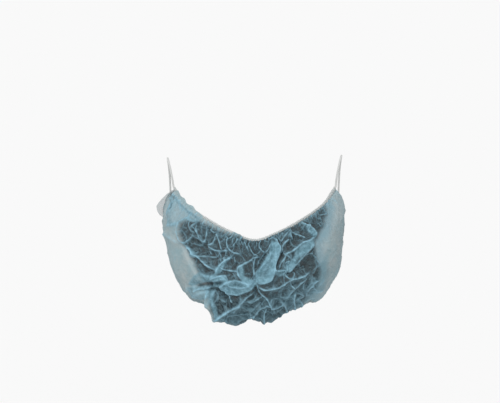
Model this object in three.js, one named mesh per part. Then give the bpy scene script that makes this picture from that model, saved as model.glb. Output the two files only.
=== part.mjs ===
// A disposable beard net as it sits when it is worn: a gathered pouch of thin nonwoven between two sewn
// elastics, and a loop of the same elastic at each end. Millimetres, +Z up, and the front is towards -Y.
// The origin is midway between the two places that the loops hang from.
import * as THREE from "three";

// Clearance between pieces that are sewn together
const GAP = 0.3;

// Pouch
const CLOTH = 1;
const HALF_WIDTH = 84.5;
const REACH = 125;
const DROP = 141;
const COLUMNS = 88;
const ROWS = 24;

// Elastic along both edges: its height on the cloth, its height where it is doubled at the corners, the
// places across between which the one goes over into the other, and its thickness
const BAND_HEIGHT = 2.2;
const CORNER_HEIGHT = 3.4;
const CORNER_FROM = 0.78;
const CORNER_TO = 0.96;
const BAND_THICK = 1.2;

// Loops: the right one hangs this much higher than the left one
const CORD = 1.8;
const CORD_SIDES = 8;
const SEAT_TILT = 2.4;

// Gathers along the edges and pleats at the two ends
const RIM_GATHERS = 22;
const RIM_GATHER_DEPTH = 1.7;
const RIM_GATHER_LENGTH = 24;
const HEM_GATHERS = 22;
const HEM_GATHER_DEPTH = 1.5;
const HEM_GATHER_LENGTH = 16;
const HEM_GATHER_SHIFT = 0.37;
const GATHER_RISE = 6;
const END_PLEATS = 4;
const END_PLEAT_DEPTH = 1.4;
const END_PLEAT_SLANT = 2;
const END_PLEATS_FROM = 0.7;

// Unevenness of the gathers: each row moves the crests by an amount that changes this quickly along the
// edge
const GATHER_DRIFTS = [
  { amount: 1.1, quickness: 4.3, start: 0.6 },
  { amount: 0.7, quickness: 9.1, start: 0 },
];

// Loose squared end of the strip, on the left
const FLAP_REACH = 10.5;
const FLAP_COLUMNS = 4;
const FLAP_WAY = [-0.85, -0.3, -0.42];

// Width of the loose end, as shares of FLAP_REACH: at the upper elastic, and least. The other three are
// places down the strip: how far it takes to reach the full width, how far it takes to fall off again, and
// where it has ended
const FLAP_TOP = 0.3;
const FLAP_LEAST = 0.12;
const FLAP_GROWS = 0.57;
const FLAP_FALLS = 0.38;
const FLAP_END = 0.78;

// Sections of the pouch from its middle to an end, as shares of HALF_WIDTH, REACH and DROP. Each runs from
// the upper elastic over the belly and the lowest fold to the lower elastic.
const SECTIONS = [
  {
    rim: [0, 0.912, 0.445], belly: [0, 0.99, 0.62], low: [0, 0.96, 0.82],
    base: [0, 0.78, 0.965], hem: [0, 0.46, 0.89],
  },
  {
    rim: [0.25, 0.85, 0.4], belly: [0.36, 0.93, 0.59], low: [0.4, 0.9, 0.8],
    base: [0.32, 0.72, 0.945], hem: [0.3, 0.4, 0.88],
  },
  {
    rim: [0.53, 0.656, 0.33], belly: [0.66, 0.7, 0.5], low: [0.71, 0.66, 0.75],
    base: [0.6, 0.5, 0.905], hem: [0.56, 0.24, 0.82],
  },
  {
    rim: [0.74, 0.36, 0.272], belly: [0.88, 0.37, 0.4], low: [0.915, 0.3, 0.65],
    base: [0.765, 0.22, 0.86], hem: [0.74, 0.05, 0.7],
  },
  {
    rim: [0.875, 0.112, 0.195], belly: [0.95, 0.05, 0.245], low: [1, -0.02, 0.33],
    base: [0.985, -0.09, 0.395], hem: [0.93, -0.12, 0.43],
  },
];

// Route of the loop on +X, from the front corner over its top and down behind
const LOOP_ROUTE = [
  [76.2, -10.6, -17],
  [78.2, -7.2, -7.5],
  [80, -3.2, -1],
  [80.8, 1.2, 0.9],
  [80.6, 6.4, -2.2],
  [79.8, 11.4, -11],
  [79.2, 14.2, -24],
  [78.8, 15.2, -38],
];
const LOOP_STEPS = 26;

// Length of the cloth from its middle to an end, as a share of REACH, and from edge to edge, as a share
// of DROP
const CLOTH_ACROSS = 1.15;
const CLOTH_DOWN = 0.8;

// Larger folds: each runs between two places given as across (-1 and 1 at the ends) and down (0 at the
// upper elastic, 1 at the lower one). It stands out by a share of FOLD_RISE, and is a share of FOLD_WIDTH
// wide at half height
const FOLD_RISE = 8;
const FOLD_WIDTH = 20;
const FOLDS = [
  { name: "left lobe", across: [-0.2, -0.15], down: [0.6, 0.65], rise: 0.9, width: 0.75 },
  { name: "foot of the left lobe", across: [-0.28, -0.25], down: [0.55, 0.7], rise: 0.7, width: 0.4 },
  { name: "dent left of the lobes", across: [-0.4, -0.33], down: [0.7, 0.7], rise: -1.4, width: 0.65 },
  { name: "low left side", across: [-0.6, -0.45], down: [0.65, 0.7], rise: -0.6, width: 0.7 },
  { name: "notch between the lobes", across: [-0.04, -0.04], down: [0.55, 0.7], rise: -0.3, width: 0.4 },
  { name: "right lobe", across: [0.04, 0.13], down: [0.6, 0.6], rise: 0.6, width: 0.8 },
  { name: "dent right of the lobes", across: [0.23, 0.3], down: [0.65, 0.7], rise: -0.9, width: 0.6 },
  { name: "low right side", across: [0.35, 0.47], down: [0.65, 0.7], rise: -0.9, width: 0.65 },
  { name: "left end", across: [-0.84, -0.74], down: [0.8, 0.85], rise: -0.9, width: 0.9 },
  { name: "bulge at the left end", across: [-0.92, -0.84], down: [0.5, 0.35], rise: 0.3, width: 0.65 },
  { name: "pinch under the doubled fold", across: [-0.4, 0], down: [0.45, 0.37], rise: -0.5, width: 0.45 },
  { name: "hollow left of the middle", across: [-0.45, -0.35], down: [0.16, 0.17], rise: -0.4, width: 0.7 },
  { name: "hollow right of the overlap", across: [0.25, 0.36], down: [0.24, 0.28], rise: -0.4, width: 0.65 },
  { name: "hollow left of the overlap", across: [0.03, 0.06], down: [0.16, 0.24], rise: -0.25, width: 0.45 },
  { name: "full left side", across: [-0.72, -0.66], down: [0.3, 0.4], rise: 0.25, width: 1 },
  { name: "full right side", across: [0.62, 0.7], down: [0.2, 0.5], rise: 0.3, width: 1 },
  { name: "ridge of the left side", across: [-0.6, -0.28], down: [0.23, 0.26], rise: 0.55, width: 0.35 },
  { name: "doubled fold", across: [-0.48, -0.05], down: [0.4, 0.3], rise: 0.6, width: 0.4 },
  { name: "crease of the left side", across: [-0.78, -0.54], down: [0.34, 0.2], rise: -0.4, width: 0.45 },
  { name: "middle fold", across: [-0.08, -0.08], down: [0.16, 0.3], rise: 0.45, width: 0.45 },
  { name: "top of the overlap", across: [0.16, 0.2], down: [0.04, 0.12], rise: 0.55, width: 0.5 },
  { name: "end of the overlap", across: [0.18, 0.05], down: [0.13, 0.3], rise: 0.6, width: 0.55 },
  { name: "top of the right fold", across: [0.46, 0.5], down: [0.05, 0.1], rise: 0.6, width: 0.4 },
  { name: "right fold", across: [0.5, 0.25], down: [0.12, 0.2], rise: 0.6, width: 0.4 },
  { name: "ridge of the right side", across: [0.58, 0.2], down: [0.2, 0.27], rise: 0.5, width: 0.35 },
  { name: "low right ridge", across: [0.08, 0.5], down: [0.35, 0.35], rise: 0.5, width: 0.4 },
  { name: "far right ridge", across: [0.5, 0.7], down: [0.5, 0.42], rise: 0.4, width: 0.45 },
  { name: "ridge on the left lobe", across: [-0.25, -0.02], down: [0.55, 0.37], rise: 0.5, width: 0.45 },
  { name: "ridge on the right lobe", across: [0.06, 0.08], down: [0.42, 0.56], rise: 0.45, width: 0.45 },
];

// A small step across, for directions
const NEARBY = 0.01;

const smooth = (low, high, x) => THREE.MathUtils.smoothstep(x, low, high);

// Point of one level of the sections, such as "rim", at the row whose index is given, on the side of the
// sign
function levelPoint(level, row, side) {
  const [x, y, z] = SECTIONS[row][level];
  return new THREE.Vector3(side * x * HALF_WIDTH, -y * REACH, -z * DROP);
}

// Curve of one level from the left end round the front to the right end
function levelCurve(level) {
  const last = SECTIONS.length - 1;
  const points = [];
  for (let k = -last; k <= last; k += 1) {
    points.push(levelPoint(level, Math.abs(k), Math.sign(k)));
  }
  return new THREE.CatmullRomCurve3(points);
}

const LEVELS = Object.keys(SECTIONS[0]).map(levelCurve);
const RIM = 0;
const HEM = LEVELS.length - 1;

// Section of the pouch at a place across
function sectionAt(across) {
  const share = (THREE.MathUtils.clamp(across, -1, 1) + 1) / 2;
  return new THREE.CatmullRomCurve3(LEVELS.map((curve) => curve.getPoint(share)));
}

// How high the elastic is at a place across
function bandHeight(across) {
  return BAND_HEIGHT + (CORNER_HEIGHT - BAND_HEIGHT) * smooth(CORNER_FROM, CORNER_TO, Math.abs(across));
}

// Irregular wave with this many crests along -1 to 1
function gatherWave(across, crests) {
  let phase = Math.PI * crests * across;
  for (const { amount, quickness, start } of GATHER_DRIFTS) {
    phase += amount * Math.sin(quickness * across + start);
  }
  return Math.cos(phase);
}

// Share of a gather's depth at a distance from the edge that it starts from
function gatherFade(distance, length) {
  return smooth(0, GATHER_RISE, distance) * Math.exp(-((distance / length) ** 2));
}

// How far the cloth stands out of the smooth form at a place, which is this far from its upper and lower
// edges
function standOut(across, down, fromRim, fromHem) {
  const rim = RIM_GATHER_DEPTH * gatherFade(fromRim, RIM_GATHER_LENGTH);
  const hem = HEM_GATHER_DEPTH * gatherFade(fromHem, HEM_GATHER_LENGTH);
  const sewn = smooth(0, GATHER_RISE, Math.min(fromRim, fromHem));
  const end = END_PLEAT_DEPTH * smooth(END_PLEATS_FROM, 1, Math.abs(across)) * sewn;
  let out = rim * gatherWave(across, RIM_GATHERS);
  out += hem * gatherWave(across + HEM_GATHER_SHIFT, HEM_GATHERS);
  out -= end * Math.cos(2 * Math.PI * END_PLEATS * down + END_PLEAT_SLANT * across);
  for (const fold of FOLDS) {
    out += foldHeight(fold, across, down);
  }
  return out;
}

// Height of one of the larger folds at a place
function foldHeight(fold, across, down) {
  const acrossLength = CLOTH_ACROSS * REACH;
  const downLength = CLOTH_DOWN * DROP;
  const start = new THREE.Vector2(fold.across[0] * acrossLength, fold.down[0] * downLength);
  const end = new THREE.Vector2(fold.across[1] * acrossLength, fold.down[1] * downLength);
  const along = end.clone().sub(start);
  const place = new THREE.Vector2(across * acrossLength, down * downLength).sub(start);
  const share = place.dot(along) / along.lengthSq();
  const nearest = along.multiplyScalar(THREE.MathUtils.clamp(share, 0, 1));
  const off = place.distanceTo(nearest) / (fold.width * FOLD_WIDTH);
  return fold.rise * FOLD_RISE * Math.exp(-off * off * Math.LN2 * 4);
}

// Middle surface of the cloth, as columns of points from the upper edge to the lower one, each with the
// direction out of the smooth form
function clothColumns() {
  const columns = [];
  for (let i = -FLAP_COLUMNS; i <= COLUMNS; i += 1) {
    const across = -1 + (2 * Math.max(i, 0)) / COLUMNS;
    const section = sectionAt(across);
    const length = section.getLength();
    const top = edgeShare(across, 0);
    const bottom = 1 - edgeShare(across, 1);
    const column = [];
    for (let j = 0; j <= ROWS; j += 1) {
      const down = top + ((bottom - top) * j) / ROWS;
      const point = section.getPointAt(down);
      const outward = outwardAt(across, down);
      const out = standOut(across, down, (down - top) * length, (bottom - down) * length);
      point.addScaledVector(outward, out);
      point.add(flapOffset(-i / FLAP_COLUMNS, down));
      column.push({ point, outward });
    }
    columns.push(column);
  }
  return columns;
}

// Share of a section, from its upper end (down 0) or its lower one (down 1), that the elastic and its
// clearance take
function edgeShare(across, down) {
  const section = sectionAt(across);
  const level = down === 0 ? RIM : HEM;
  const sine = section.getTangentAt(down).cross(alongLevel(level, across)).length();
  return (bandHeight(across) / 2 + GAP) / sine / section.getLength();
}

// Direction towards the right end along a level
function alongLevel(level, across) {
  return LEVELS[level].getTangent((across + 1) / 2);
}

// Direction out of the smooth form at a place
function outwardAt(across, down) {
  const left = sectionAt(Math.max(across - NEARBY, -1)).getPointAt(down);
  const right = sectionAt(Math.min(across + NEARBY, 1)).getPointAt(down);
  const tangent = sectionAt(across).getTangentAt(down);
  return right.sub(left).cross(tangent).negate().normalize();
}

// How far the loose end of the strip reaches past the left end of the pouch
function flapOffset(share, down) {
  if (share <= 0) {
    return new THREE.Vector3();
  }
  const wide = Math.min(FLAP_TOP + down / FLAP_GROWS, (FLAP_END - down) / FLAP_FALLS, 1);
  return new THREE.Vector3(...FLAP_WAY).multiplyScalar(FLAP_REACH * share * Math.max(wide, FLAP_LEAST));
}

// Unit normals of a grid of points, out of the pouch
function gridNormals(columns) {
  const rows = columns[0].length;
  const geometry = new THREE.BufferGeometry().setFromPoints(columns.flat().map(({ point }) => point));
  const index = [];
  for (let i = 0; i < columns.length - 1; i += 1) {
    for (let j = 0; j < rows - 1; j += 1) {
      const a = i * rows + j;
      index.push(a, a + 1, a + rows, a + 1, a + rows + 1, a + rows);
    }
  }
  geometry.setIndex(index);
  geometry.computeVertexNormals();
  const normal = geometry.getAttribute("normal");
  return (i, j) => new THREE.Vector3().fromBufferAttribute(normal, i * rows + j);
}

// Closed geometry from points and a list of quads, each given by four corners going round
function closedGeometry(points, quads) {
  const geometry = new THREE.BufferGeometry().setFromPoints(points);
  geometry.setIndex(quads.flatMap(([a, b, c, d]) => [a, b, c, a, c, d]));
  geometry.computeVertexNormals();
  return geometry;
}

// Wall of cloth round a middle surface
function clothGeometry(columns) {
  const rows = columns[0].length;
  const normalAt = gridNormals(columns);
  const points = [];
  columns.forEach((column, i) => {
    column.forEach(({ point, outward }, j) => {
      const sewn = j === 0 || j === rows - 1;
      const half = (sewn ? outward : normalAt(i, j)).clone().setLength(CLOTH / 2);
      points.push(point.clone().add(half), point.clone().sub(half));
    });
  });
  const outer = (i, j) => 2 * (i * rows + j);
  const inner = (i, j) => outer(i, j) + 1;
  const lastColumn = columns.length - 1;
  const lastRow = rows - 1;
  const quads = [];
  for (let i = 0; i < lastColumn; i += 1) {
    for (let j = 0; j < lastRow; j += 1) {
      quads.push([outer(i, j), outer(i, j + 1), outer(i + 1, j + 1), outer(i + 1, j)]);
      quads.push([inner(i, j), inner(i + 1, j), inner(i + 1, j + 1), inner(i, j + 1)]);
    }
    quads.push([outer(i, 0), outer(i + 1, 0), inner(i + 1, 0), inner(i, 0)]);
    quads.push([outer(i, lastRow), inner(i, lastRow), inner(i + 1, lastRow), outer(i + 1, lastRow)]);
  }
  for (let j = 0; j < lastRow; j += 1) {
    quads.push([outer(0, j), inner(0, j), inner(0, j + 1), outer(0, j + 1)]);
    const k = lastColumn;
    quads.push([outer(k, j), outer(k, j + 1), inner(k, j + 1), inner(k, j)]);
  }
  return closedGeometry(points, quads);
}

// Flat elastic along the upper edge (down 0) or the lower one (down 1)
function bandGeometry(down) {
  const points = [];
  const quads = [];
  for (let i = 0; i <= COLUMNS; i += 1) {
    const across = -1 + (2 * i) / COLUMNS;
    const section = sectionAt(across);
    const centre = section.getPointAt(down);
    const out = outwardAt(across, down);
    const high = alongLevel(down === 0 ? RIM : HEM, across).cross(out).setLength(bandHeight(across) / 2);
    const thick = out.multiplyScalar(BAND_THICK / 2);
    for (const [up, side] of [[-1, 1], [1, 1], [1, -1], [-1, -1]]) {
      points.push(centre.clone().addScaledVector(high, up).addScaledVector(thick, side));
    }
    for (let k = 0; k < 4 && i < COLUMNS; k += 1) {
      const next = (k + 1) % 4;
      quads.push([4 * i + k, 4 * i + next, 4 * i + 4 + next, 4 * i + 4 + k]);
    }
  }
  const last = 4 * COLUMNS;
  quads.push([3, 2, 1, 0], [last, last + 1, last + 2, last + 3]);
  return closedGeometry(points, quads);
}

// Where an elastic ends on a side, and its direction out of the cloth there
function bandEnd(level, side) {
  const point = LEVELS[level].getPoint((side + 1) / 2);
  return { point, out: alongLevel(level, side).multiplyScalar(side) };
}

// Round cord of one loop, from the end of the upper elastic to the end of the lower one
function loopGeometry(side) {
  const rim = bandEnd(RIM, side);
  const hem = bandEnd(HEM, side);
  const lift = (side * SEAT_TILT) / 2;
  const route = LOOP_ROUTE.map(([x, y, z]) => new THREE.Vector3(side * x, y, z + lift));
  const path = new THREE.CatmullRomCurve3([
    rim.point.clone().addScaledVector(rim.out, GAP),
    rim.point.clone().addScaledVector(rim.out, GAP + CORD),
    ...route,
    hem.point.clone().addScaledVector(hem.out, GAP + CORD),
    hem.point.clone().addScaledVector(hem.out, GAP),
  ]);
  const outline = new THREE.Shape();
  for (let k = 0; k < CORD_SIDES; k += 1) {
    const angle = (2 * Math.PI * k) / CORD_SIDES;
    const corner = [(CORD / 2) * Math.cos(angle), (CORD / 2) * Math.sin(angle)];
    if (k === 0) {
      outline.moveTo(...corner);
    } else {
      outline.lineTo(...corner);
    }
  }
  return new THREE.ExtrudeGeometry(outline, { steps: LOOP_STEPS, bevelEnabled: false, extrudePath: path });
}

const nonwoven = new THREE.MeshStandardMaterial({
  color: 0x9cc4d6,
  roughness: 0.85,
  metalness: 0,
  side: THREE.DoubleSide,
});
const elastic = new THREE.MeshStandardMaterial({ color: 0xeceeec, roughness: 0.8, metalness: 0 });

function piece(name, geometry, material) {
  const mesh = new THREE.Mesh(geometry, material);
  mesh.name = name;
  return mesh;
}

const beardNet = new THREE.Group();
beardNet.add(
  piece("net_pouch", clothGeometry(clothColumns()), nonwoven),
  piece("upper_rim_elastic", bandGeometry(0), elastic),
  piece("lower_rim_elastic", bandGeometry(1), elastic),
  piece("ear_loop_left", loopGeometry(-1), elastic),
  piece("ear_loop_right", loopGeometry(1), elastic),
);

export default beardNet;
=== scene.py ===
import math
import random

import bmesh
import bpy
import numpy as np
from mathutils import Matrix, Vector
from mathutils.bvhtree import BVHTree
from mathutils.geometry import delaunay_2d_cdt
from mathutils.kdtree import KDTree


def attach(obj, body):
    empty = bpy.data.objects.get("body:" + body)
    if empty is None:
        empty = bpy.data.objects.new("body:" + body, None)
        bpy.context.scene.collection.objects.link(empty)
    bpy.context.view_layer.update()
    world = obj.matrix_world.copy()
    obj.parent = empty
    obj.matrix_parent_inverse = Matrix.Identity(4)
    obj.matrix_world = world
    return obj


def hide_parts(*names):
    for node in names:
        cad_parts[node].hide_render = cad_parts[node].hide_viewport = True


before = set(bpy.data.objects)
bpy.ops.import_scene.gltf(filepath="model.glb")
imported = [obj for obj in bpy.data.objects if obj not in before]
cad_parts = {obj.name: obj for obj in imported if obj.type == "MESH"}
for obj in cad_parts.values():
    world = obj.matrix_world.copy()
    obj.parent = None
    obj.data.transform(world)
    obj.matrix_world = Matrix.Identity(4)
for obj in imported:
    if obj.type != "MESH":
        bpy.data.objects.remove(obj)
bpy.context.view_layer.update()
scene = bpy.context.scene
scene.view_settings.view_transform = "Standard"

# Camera: from the front and tipped down a little. Width and height are the photo's, in pixels.
camera = {
    "tip": math.radians(6.0),
    "distance": 1.8,
    "lens": 139.4,
    "sensor": 36.0,
    "lookAt": (-0.0042, -0.0042, -0.0402),
    "farthest": 3000.0,
    "width": 500,
    "height": 403,
}


def makeCamera():
    data = bpy.data.cameras.new("camera")
    data.lens = camera["lens"]
    data.sensor_width = camera["sensor"]
    data.clip_end = camera["farthest"]
    ob = bpy.data.objects.new("camera", data)
    ob.rotation_euler = (math.pi / 2 - camera["tip"], 0, 0)
    back = Vector((0, -math.cos(camera["tip"]), math.sin(camera["tip"])))
    ob.location = Vector(camera["lookAt"]) + back * camera["distance"]
    scene.collection.objects.link(ob)
    scene.camera = ob


# Pixels of the photo that points lie behind, and the directions from them to the camera
def inPhoto(points):
    back = np.array((0, -math.cos(camera["tip"]), math.sin(camera["tip"])))
    up = np.cross(back, (1, 0, 0))
    sight = points - np.array(camera["lookAt"]) - back * camera["distance"]
    zoom = camera["lens"] / camera["sensor"] * camera["width"] / -(sight @ back)
    return camera["width"] / 2 + zoom * sight[..., 0], camera["height"] / 2 - zoom * (sight @ up), -sight


makeCamera()
print("camera placed")

# The cloth's smooth form, from the same sections as the solids: shares of the three lengths
pouch = {
    "halfWidth": 0.0845,
    "reach": 0.125,
    "drop": 0.141,
    "columns": 400,
    "rows": 216,
    "frontShare": 0.74,
    "rimShare": 0.8,
    "halfArc": 0.146,
    "sectionSteps": 161,
    "lengthSteps": 81,
    "flapReach": 0.0105,
    "flapColumns": 14,
    "flapWay": (-0.82, -0.52, -0.4),
    "flapCorner": 0.4,
    "flapEnd": 0.98,
    "flapLeast": 0.3,
    "turnOver": 0.0032,
    "turnedFrom": (-0.975, -0.93),
    "turnedTo": (-0.6, -0.46),
    "againFrom": (-0.24, -0.2),
    "againTo": (-0.15, -0.11),
    "againShare": 0.7,
    "turnWaves": (46, 0.25),
    "overElastic": 0.0016,
    "overFrom": (0.001, 0.005),
    "sewnAt": 0.0008,
    "heldOver": 0.012,
}
sections = {
    "rim": ((0, 0.912, 0.445), (0.25, 0.85, 0.4), (0.53, 0.656, 0.33), (0.74, 0.36, 0.272),
            (0.875, 0.112, 0.195)),
    "belly": ((0, 0.99, 0.62), (0.36, 0.93, 0.59), (0.66, 0.7, 0.5), (0.88, 0.37, 0.4), (0.95, 0.05, 0.245)),
    "low": ((0, 0.96, 0.82), (0.4, 0.9, 0.8), (0.71, 0.66, 0.75), (0.915, 0.3, 0.65), (1, -0.02, 0.33)),
    "base": ((0, 0.78, 0.965), (0.32, 0.72, 0.945), (0.6, 0.5, 0.905), (0.765, 0.22, 0.86),
             (0.985, -0.09, 0.395)),
    "hem": ((0, 0.46, 0.89), (0.3, 0.4, 0.88), (0.56, 0.24, 0.82), (0.74, 0.05, 0.7), (0.93, -0.12, 0.43)),
}


# Centripetal curve through points, read at shares from 0 to 1
def smoothCurve(points, shares):
    points = np.asarray(points, float)
    last = len(points) - 1
    ring = np.vstack([2 * points[0] - points[1], points, 2 * points[-1] - points[-2]])
    place = np.clip(np.asarray(shares, float), 0, 1) * last
    k = np.minimum(place.astype(int), last - 1)
    w = (place - k)[:, None]
    a, b, c, d = ring[k], ring[k + 1], ring[k + 2], ring[k + 3]
    steps = [np.sqrt(np.linalg.norm(q - p, axis=1)) for p, q in ((a, b), (b, c), (c, d))]
    before, here, after = (np.maximum(step, 1e-4)[:, None] for step in steps)
    leave = ((b - a) / before - (c - a) / (before + here) + (c - b) / here) * here
    arrive = ((c - b) / here - (d - b) / (here + after) + (d - c) / after) * here
    bend = 3 * (c - b) - 2 * leave - arrive
    settle = 2 * (b - c) + leave + arrive
    return b + leave * w + bend * w**2 + settle * w**3


# Points of one level from the left end to the right one; both sides are alike
def levelPoints(rows):
    size = np.array([pouch["halfWidth"], -pouch["reach"], -pouch["drop"]])
    right = [np.array(row) * size for row in rows]
    return [p * (-1, 1, 1) for p in right[:0:-1]] + right


levels = {name: levelPoints(rows) for name, rows in sections.items()}


# Points of the five levels at each place across
def sectionsAt(across):
    shares = (np.clip(across, -1, 1) + 1) / 2
    return np.stack([smoothCurve(points, shares) for points in levels.values()], 1)


def stepsOf(path):
    return np.linalg.norm(np.diff(path, axis=0), axis=1)


def runOf(path):
    return np.concatenate([[0], np.cumsum(stepsOf(path))])


def unit(vectors):
    return vectors / np.maximum(np.linalg.norm(vectors, axis=-1, keepdims=True), 1e-9)


# Points of a section at distances from its upper end; above that end it goes straight on
def along(points, distances):
    fine = smoothCurve(points, np.linspace(0, 1, pouch["sectionSteps"]))
    run = runOf(fine)
    out = np.stack([np.interp(distances, run, fine[:, k]) for k in range(3)], 1)
    above = np.minimum(distances, 0)[:, None]
    return out + (fine[1] - fine[0]) / run[1] * above


def smooth(low, high, x):
    t = np.clip((np.asarray(x, float) - low) / (high - low), 0, 1)
    return t * t * (3 - 2 * t)


def newObject(name, mesh):
    ob = bpy.data.objects.new(name, mesh)
    scene.collection.objects.link(ob)
    return ob


# A grid laid out on an array of points, with a UV map. Rolled, its two sides meet and its ends are closed.
def gridMesh(name, points, uv, uvName, rolled=False):
    columns, rows = points.shape[:2]
    bm = bmesh.new()
    bmesh.ops.create_grid(bm, x_segments=columns - 1, y_segments=rows - 1, size=1.0)
    places = {}
    for vert in bm.verts:
        i = round((vert.co.x + 1) / 2 * (columns - 1))
        j = round((vert.co.y + 1) / 2 * (rows - 1))
        places[vert] = (i, j)
    layer = bm.loops.layers.uv.new(uvName)
    for face in bm.faces:
        face.smooth = True
        for corner in face.loops:
            corner[layer].uv = uv[places[corner.vert]]
    for vert, place in places.items():
        vert.co = points[place]
    order = list(places.values())
    if rolled:
        bmesh.ops.remove_doubles(bm, verts=bm.verts, dist=1e-6)
        bmesh.ops.holes_fill(bm, edges=bm.edges, sides=0)
        bmesh.ops.recalc_face_normals(bm, faces=bm.faces)
    else:
        bmesh.ops.reverse_faces(bm, faces=bm.faces)
    mesh = bpy.data.meshes.new(name)
    bm.to_mesh(mesh)
    bm.free()
    return mesh, order


# UV map for a rolled grid: share of a turn, and metres along the path
def rolledUv(path, sides):
    return np.stack(np.meshgrid(np.linspace(0, 1, sides + 1), runOf(path), indexing="ij"), -1)


offAxis = (0.3, 0.2, 1.0)  # a direction in which no cord starts


def tubeMesh(name, path, radius, sides):
    path = np.asarray(path, float)
    way = unit(np.gradient(path, axis=0))
    side = np.cross(way[0], offAxis)
    across = []
    for step in way:
        side = side - step * (side @ step)
        side = side / np.linalg.norm(side)
        across.append(side)
    across = np.array(across)
    other = np.cross(across, way)
    turn = np.linspace(0, 2 * math.pi, sides + 1)[:, None, None]
    radius = np.broadcast_to(radius, len(path))[None, :, None]
    points = path + (np.cos(turn) * across + np.sin(turn) * other) * radius
    return gridMesh(name, points, rolledUv(path, sides), "UVMap", rolled=True)[0]


# Loops: white braided elastic, from the front corner of the pouch up over the top and down to the rear
# corner. The points of the route are in mm.
loop = {
    "diameter": 0.0018,
    "sides": 12,
    "steps": 121,
    "seatTilt": 0.0024,
    "gap": 0.0003,
    "leadShare": 0.004,
    "pathStep": 6,
    "route": [
        (76.2, -10.6, -17),
        (78.2, -7.2, -7.5),
        (80, -3.2, -1),
        (80.8, 1.2, 0.9),
        (80.6, 6.4, -2.2),
        (79.8, 11.4, -11),
        (79.2, 14.2, -24),
        (78.8, 15.2, -38),
    ],
}


# Where an elastic ends on a side, and the direction in which it leaves
def cornerOf(level, side):
    lead = loop["leadShare"]
    ends = smoothCurve(levels[level], [0.0, lead, 1 - lead, 1.0])
    if side > 0:
        return Vector(ends[3]), Vector(ends[3] - ends[2]).normalized()
    return Vector(ends[0]), Vector(ends[0] - ends[1]).normalized()


def loopRoute(side):
    front, frontWay = cornerOf("rim", side)
    rear, rearWay = cornerOf("hem", side)
    lift = Vector((0, 0, side * loop["seatTilt"] / 2))
    step = loop["gap"] + loop["diameter"]
    middle = [Vector((side * x, y, z)) / 1000 + lift for x, y, z in loop["route"]]
    return [front + frontWay * loop["gap"], front + frontWay * step, *middle,
            rear + rearWay * step, rear + rearWay * loop["gap"]]


def makeLoop(side, name, node, material):
    route = loopRoute(side)
    path = smoothCurve(route, np.linspace(0, 1, loop["steps"]))
    ob = newObject(name, tubeMesh(name, path, loop["diameter"] / 2, loop["sides"]))
    ob.data.materials.append(material)
    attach(ob, "root")
    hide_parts(node)


def newMaterial(name):
    material = bpy.data.materials.new(name)
    material.use_nodes = True
    tree = material.node_tree
    tree.nodes.clear()
    return material, tree


# A node with its inputs set to values, or linked to other nodes
def addNode(tree, kind, inputs):
    node = tree.nodes.new("ShaderNode" + kind)
    for name, value in inputs.items():
        if isinstance(value, bpy.types.NodeSocket):
            tree.links.new(value, node.inputs[name])
        else:
            node.inputs[name].default_value = value
    return node


def mathNode(tree, operation, a, b=None, clamp=False):
    node = addNode(tree, "Math", {0: a} if b is None else {0: a, 1: b})
    node.operation = operation
    node.use_clamp = clamp
    return node.outputs[0]


def times(tree, a, b):
    return mathNode(tree, "MULTIPLY", a, b)


def plus(tree, a, b, clamp=False):
    return mathNode(tree, "ADD", a, b, clamp)


def mixColours(tree, share, a, b):
    node = tree.nodes.new("ShaderNodeMix")
    node.data_type = "RGBA"
    tree.links.new(share, node.inputs[0])
    for socket, value in ((node.inputs[6], a), (node.inputs[7], b)):
        if isinstance(value, tuple):
            socket.default_value = (*value, 1)
        else:
            tree.links.new(value, socket)
    return node.outputs[2]


def noise(tree, vector, scale, detail=2.0, rough=0.5):
    settings = {"Scale": scale, "Detail": detail, "Roughness": rough}
    return addNode(tree, "TexNoise", {**settings, "Vector": vector}).outputs["Fac"]


def stretched(tree, vector, angle, scale):
    turn = (0, 0, math.radians(angle))
    return addNode(tree, "Mapping", {"Rotation": turn, "Scale": scale, "Vector": vector}).outputs["Vector"]


def uvVector(tree, name):
    node = tree.nodes.new("ShaderNodeUVMap")
    node.uv_map = name
    return node.outputs["UV"]


def readAttribute(tree, name):
    node = tree.nodes.new("ShaderNodeAttribute")
    node.attribute_name = name
    return node.outputs["Fac"]


def bumpFrom(tree, height, strength, distance):
    node = addNode(tree, "Bump", {"Strength": strength, "Distance": distance, "Height": height})
    return node.outputs["Normal"]


# Cloudy pattern from 0 to 1, with its contrast raised about its middle
def clouded(tree, flat, kind):
    wave = plus(tree, noise(tree, flat, kind["scale"], kind["detail"], kind["rough"]), -0.5)
    return plus(tree, times(tree, wave, kind["contrast"]), 0.5, clamp=True)


def finishMaterial(tree, shader):
    addNode(tree, "OutputMaterial", {"Surface": shader})


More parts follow.
